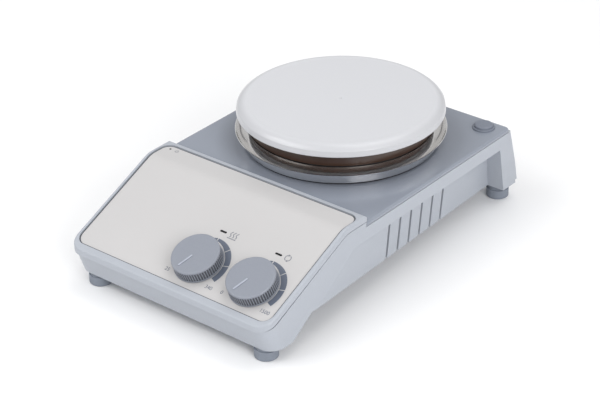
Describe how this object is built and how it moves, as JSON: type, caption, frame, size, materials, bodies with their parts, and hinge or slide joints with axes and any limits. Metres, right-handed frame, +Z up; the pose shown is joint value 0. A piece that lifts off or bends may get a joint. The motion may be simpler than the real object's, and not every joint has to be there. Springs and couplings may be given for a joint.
{
  "type": "hotplate magnetic stirrer",
  "caption": "Low grey laboratory hotplate stirrer: round white heated plate over a polished dish, sloping white panel with ribbed heat and stir knobs, rubber feet.",
  "frame": {"origin": "on the bench under the middle of the outline", "axes": "+X to the user's right, +Y to the rear, +Z up; the sloping control panel faces -Y"},
  "size_m": [0.16, 0.263, 0.0851],
  "materials": {
    "grey_casing": "satin",
    "grey_deck": "satin",
    "white_panel": "satin",
    "dark_window": "gloss",
    "knob_grey": "satin",
    "plug_grey": "satin",
    "foot_rubber": "matte",
    "white_ceramic": "gloss ceramic coating",
    "brown_enamel": "gloss",
    "polished_steel": "polished",
    "ring_steel": "brushed",
    "seal_rubber": "matte",
    "fixing_steel": "plated",
    "spacer_brass": "plated",
    "zinc_sheet": "zinc plated",
    "bearing_steel": "ground",
    "lamination_steel": "dull",
    "copper_winding": "enamelled copper",
    "magnet_nickel": "nickel plated",
    "ferrite": "dull",
    "bare_aluminium": "satin",
    "insulation_board": "fibrous",
    "circuit_board": "solder mask",
    "component_black": "moulded",
    "capacitor_sleeve": "sleeved",
    "lamp_lens": "clear",
    "fuse_glass": "clear"
  },
  "bodies": {
    "base": {"housing": "grey_casing", "bottom_cover": "grey_casing", "deck": "grey_deck", "bezel": "grey_casing", "control_panel": "white_panel", "indicator_windows": "dark_window", "potentiometers": "component_black", "pot_nuts": "fixing_steel", "control_board": "circuit_board", "control_pillars": "spacer_brass", "indicator_lamps": "lamp_lens", "power_board": "circuit_board", "triac_heatsink": "bare_aluminium", "transformer": "component_black", "filter_capacitors": "capacitor_sleeve", "bracket_spacers": "spacer_brass", "motor_bracket": "zinc_sheet", "inner_screws": "fixing_steel", "motor_can": "zinc_sheet", "motor_end_cap": "zinc_sheet", "motor_bearings": "bearing_steel", "stator_core": "lamination_steel", "stator_coils": "copper_winding", "hot_plate": "white_ceramic", "heating_element": "copper_winding", "heater_clamp_plate": "zinc_sheet", "insulation_disc": "insulation_board", "plate_sensor": "bearing_steel", "heater_shroud": "brown_enamel", "thermal_cutout": "component_black", "shroud_gasket": "seal_rubber", "shroud_base": "ring_steel", "plate_spacers": "spacer_brass", "plate_studs": "fixing_steel", "plate_nuts": "fixing_steel", "drip_dish": "polished_steel", "dish_gasket": "seal_rubber", "rod_socket": "spacer_brass", "rear_panel": "grey_casing", "power_inlet": "component_black", "inlet_pins": "spacer_brass", "switch_frame": "component_black", "rear_panel_screws": "fixing_steel", "front_feet": "foot_rubber", "rear_feet": "foot_rubber", "foot_screws": "fixing_steel", "cover_screws": "fixing_steel"},
    "heat_dial": {"heat_knob": "knob_grey", "heat_pot_shaft": "bearing_steel"},
    "stir_dial": {"stir_knob": "knob_grey", "stir_pot_shaft": "bearing_steel"},
    "stirring_rotor": {"motor_shaft": "bearing_steel", "rotor_magnet": "ferrite", "magnet_holder": "bare_aluminium", "grub_screw": "fixing_steel", "drive_magnets": "magnet_nickel"},
    "rocker": {"power_rocker": "component_black"},
    "rod_plug": {"rod_hole_plug": "plug_grey"},
    "fuse_tray": {"fuse_drawer": "component_black", "fuses": "fuse_glass"}
  },
  "joints": [
    {"name": "heat_knob_turn", "type": "hinge", "parent": "base", "child": "heat_dial", "pos_m": [0.0093, -0.1084, 0.03821], "axis": [0, 0.3955, -0.9184], "range_deg": [0, 290]},
    {"name": "stir_knob_turn", "type": "hinge", "parent": "base", "child": "stir_dial", "pos_m": [0.0526, -0.1084, 0.03821], "axis": [0, 0.3955, -0.9184], "range_deg": [0, 290]},
    {"name": "stirring_spin", "type": "hinge", "parent": "base", "child": "stirring_rotor", "pos_m": [0, 0.0412, 0.04], "axis": [0, 0, 1], "continuous": true},
    {"name": "power_rocker_tip", "type": "hinge", "parent": "base", "child": "rocker", "pos_m": [-0.02, 0.1165, 0.034], "axis": [-1, 0, 0], "range_deg": [0, 16]},
    {"name": "rod_plug_pull", "type": "slide", "parent": "base", "child": "rod_plug", "axis": [0, 0, 1], "range_m": [0, 0.02]},
    {"name": "fuse_drawer_slide", "type": "slide", "parent": "base", "child": "fuse_tray", "axis": [0, 1, 0], "range_m": [0, 0.016]}
  ]
}
